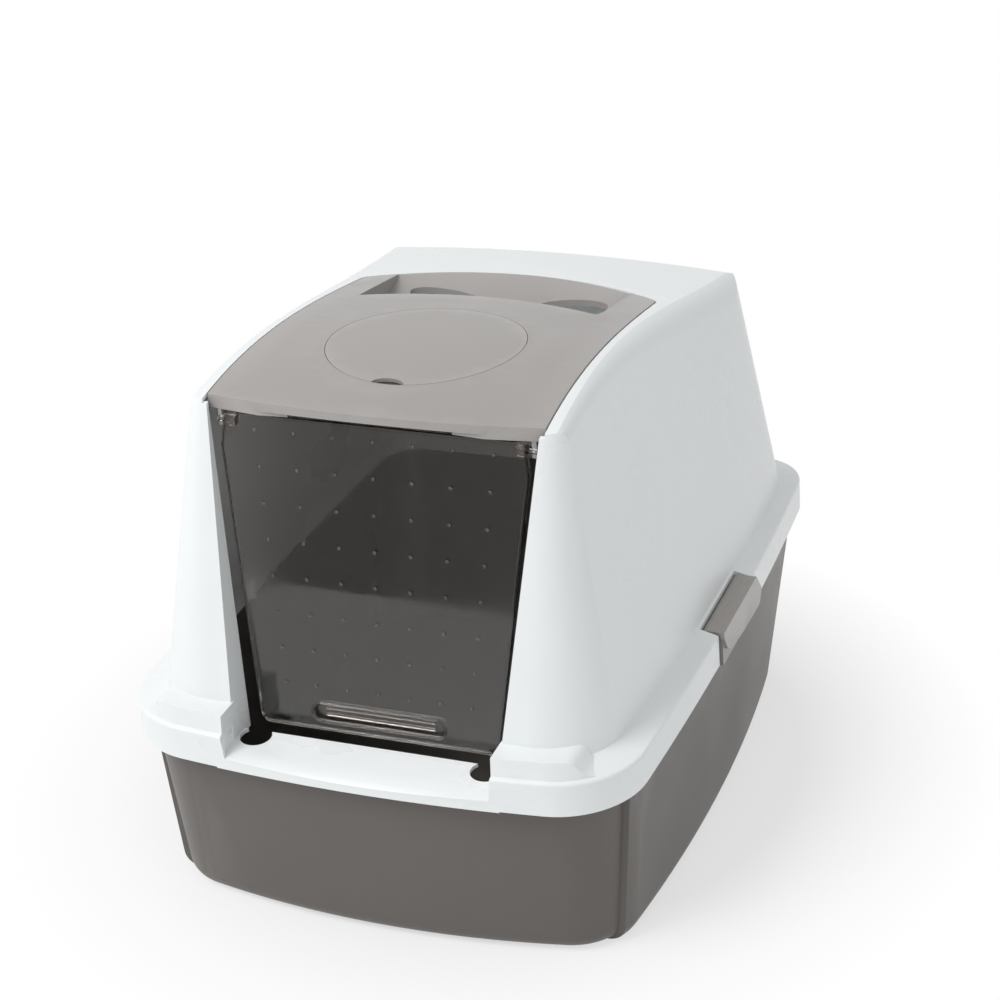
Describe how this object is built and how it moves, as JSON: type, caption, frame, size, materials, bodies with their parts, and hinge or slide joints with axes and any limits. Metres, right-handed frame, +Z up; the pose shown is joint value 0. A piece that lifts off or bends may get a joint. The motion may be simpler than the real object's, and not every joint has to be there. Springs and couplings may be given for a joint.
{
  "type": "hooded litter box",
  "caption": "Hooded cat litter box: open pan, clip-on hood with a front entry, smoked swing door and a lifting front lid that holds an odour filter and a grip.",
  "frame": {"origin": "centre of the footprint of the whole box, on the floor", "axes": "+X to the box's right as seen from its front, -Y out of the front entry, +Z up"},
  "size_m": [0.448, 0.575, 0.4344],
  "materials": {
    "pan_grey": "satin",
    "hood_white": "satin",
    "lid_grey": "satin",
    "smoked_door": "clear, smoked",
    "filter_foam": "open foam"
  },
  "bodies": {
    "pan": {"pan": "pan_grey"},
    "hood": {"hood": "hood_white"},
    "lid": {"lid": "lid_grey"},
    "filter": {"filter_cap": "lid_grey", "filter_pad": "filter_foam"},
    "door": {"swing_door": "smoked_door"},
    "latch_right": {"latch_right": "lid_grey"},
    "latch_left": {"latch_left": "lid_grey"}
  },
  "joints": [
    {"name": "hood_lift_off", "type": "slide", "parent": "pan", "child": "hood", "axis": [0, 0, 1], "range_m": [0, 0.35]},
    {"name": "lid_hinge", "type": "hinge", "parent": "hood", "child": "lid", "pos_m": [0, 0.078, 0.397], "axis": [-1, 0, 0], "range_deg": [0, 58]},
    {"name": "door_hinge", "type": "hinge", "parent": "lid", "child": "door", "pos_m": [0, -0.185, 0.404], "axis": [1, 0, 0], "range_deg": [-60, 70]},
    {"name": "filter_lift_out", "type": "slide", "parent": "lid", "child": "filter", "axis": [0, 0, 1], "range_m": [0, 0.08]},
    {"name": "latch_right_hinge", "type": "hinge", "parent": "hood", "child": "latch_right", "pos_m": [0.208, 0.0125, 0.172], "axis": [0, -1, 0], "range_deg": [0, 75]},
    {"name": "latch_left_hinge", "type": "hinge", "parent": "hood", "child": "latch_left", "pos_m": [-0.208, 0.0125, 0.172], "axis": [0, 1, 0], "range_deg": [0, 75]}
  ]
}
